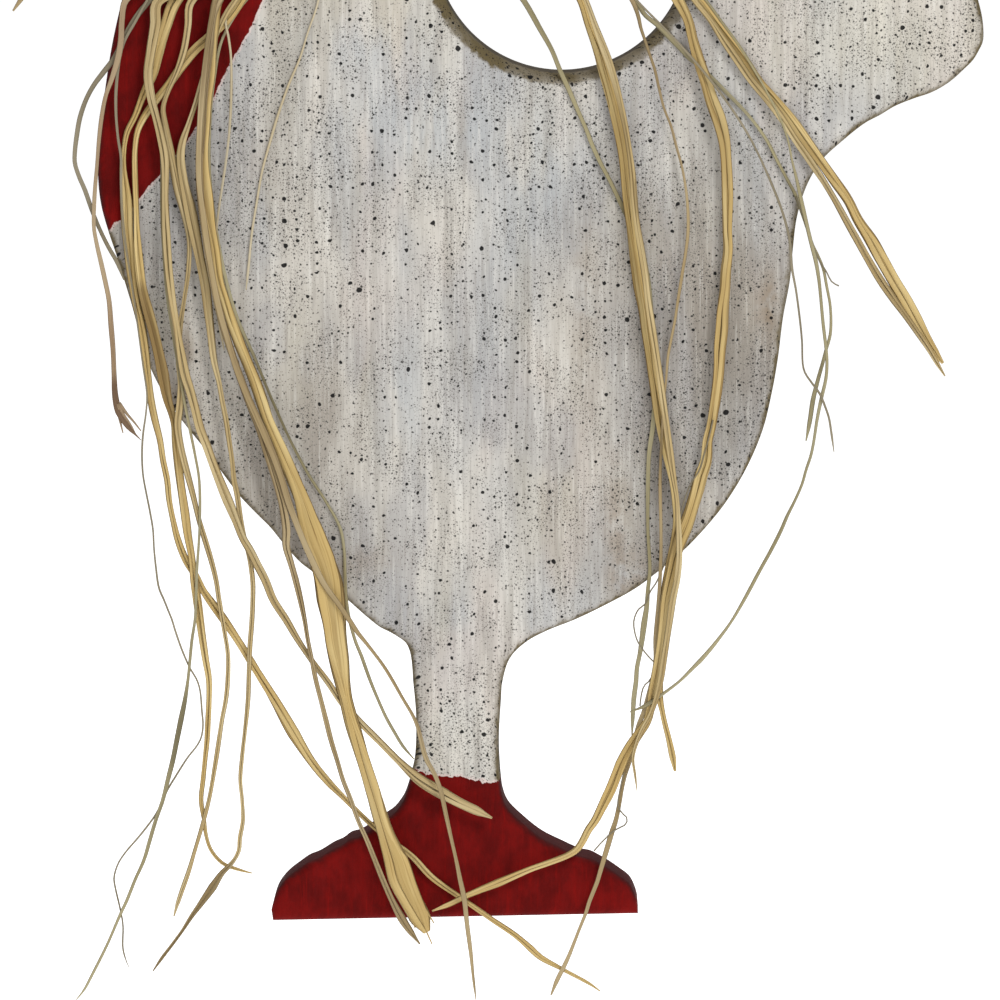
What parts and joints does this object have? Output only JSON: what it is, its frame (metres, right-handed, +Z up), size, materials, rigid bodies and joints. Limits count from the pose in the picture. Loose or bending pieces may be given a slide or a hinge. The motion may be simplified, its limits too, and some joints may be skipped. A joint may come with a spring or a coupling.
{
  "type": "wooden chicken wall hanging",
  "caption": "Flat painted wooden chicken to hang on a wall, sawn from one board, with a raffia bow on its neck.",
  "frame": {"origin": "on the flat back of the board, just below the hanging hole, in line with the centre of mass", "axes": "+Z up, front of the chicken faces -Y, back and wall towards +Y, +X towards the tail"},
  "size_m": [0.3149, 0.0343, 0.4817],
  "materials": {
    "painted_wood": "distressed off-white paint with black spatter, deep red comb, wattle and foot, sanded edges",
    "raffia": "dry natural raffia, golden straw with greenish and pinkish strands"
  },
  "bodies": {
    "root": {"chicken_board": "painted_wood", "bow_knot": "raffia", "bow_loop_1": "raffia", "bow_loop_2": "raffia", "bow_loop_3": "raffia", "bow_loop_4": "raffia", "bow_loop_5": "raffia", "bow_loop_6": "raffia", "left_tail_1": "raffia", "left_tail_2": "raffia", "left_tail_3": "raffia", "left_tail_4": "raffia", "left_tail_5": "raffia", "left_tail_6": "raffia", "left_tail_7": "raffia", "left_tail_8": "raffia", "left_tail_9": "raffia", "left_tail_10": "raffia", "left_tail_11": "raffia", "left_tail_12": "raffia", "left_tail_13": "raffia", "left_tail_14": "raffia", "left_tail_15": "raffia", "left_tail_16": "raffia", "right_tail_1": "raffia", "right_tail_2": "raffia", "right_tail_3": "raffia", "right_tail_4": "raffia", "right_tail_5": "raffia", "right_tail_6": "raffia", "right_tail_7": "raffia", "right_tail_8": "raffia", "right_tail_9": "raffia", "right_tail_10": "raffia"}
  },
  "joints": []
}
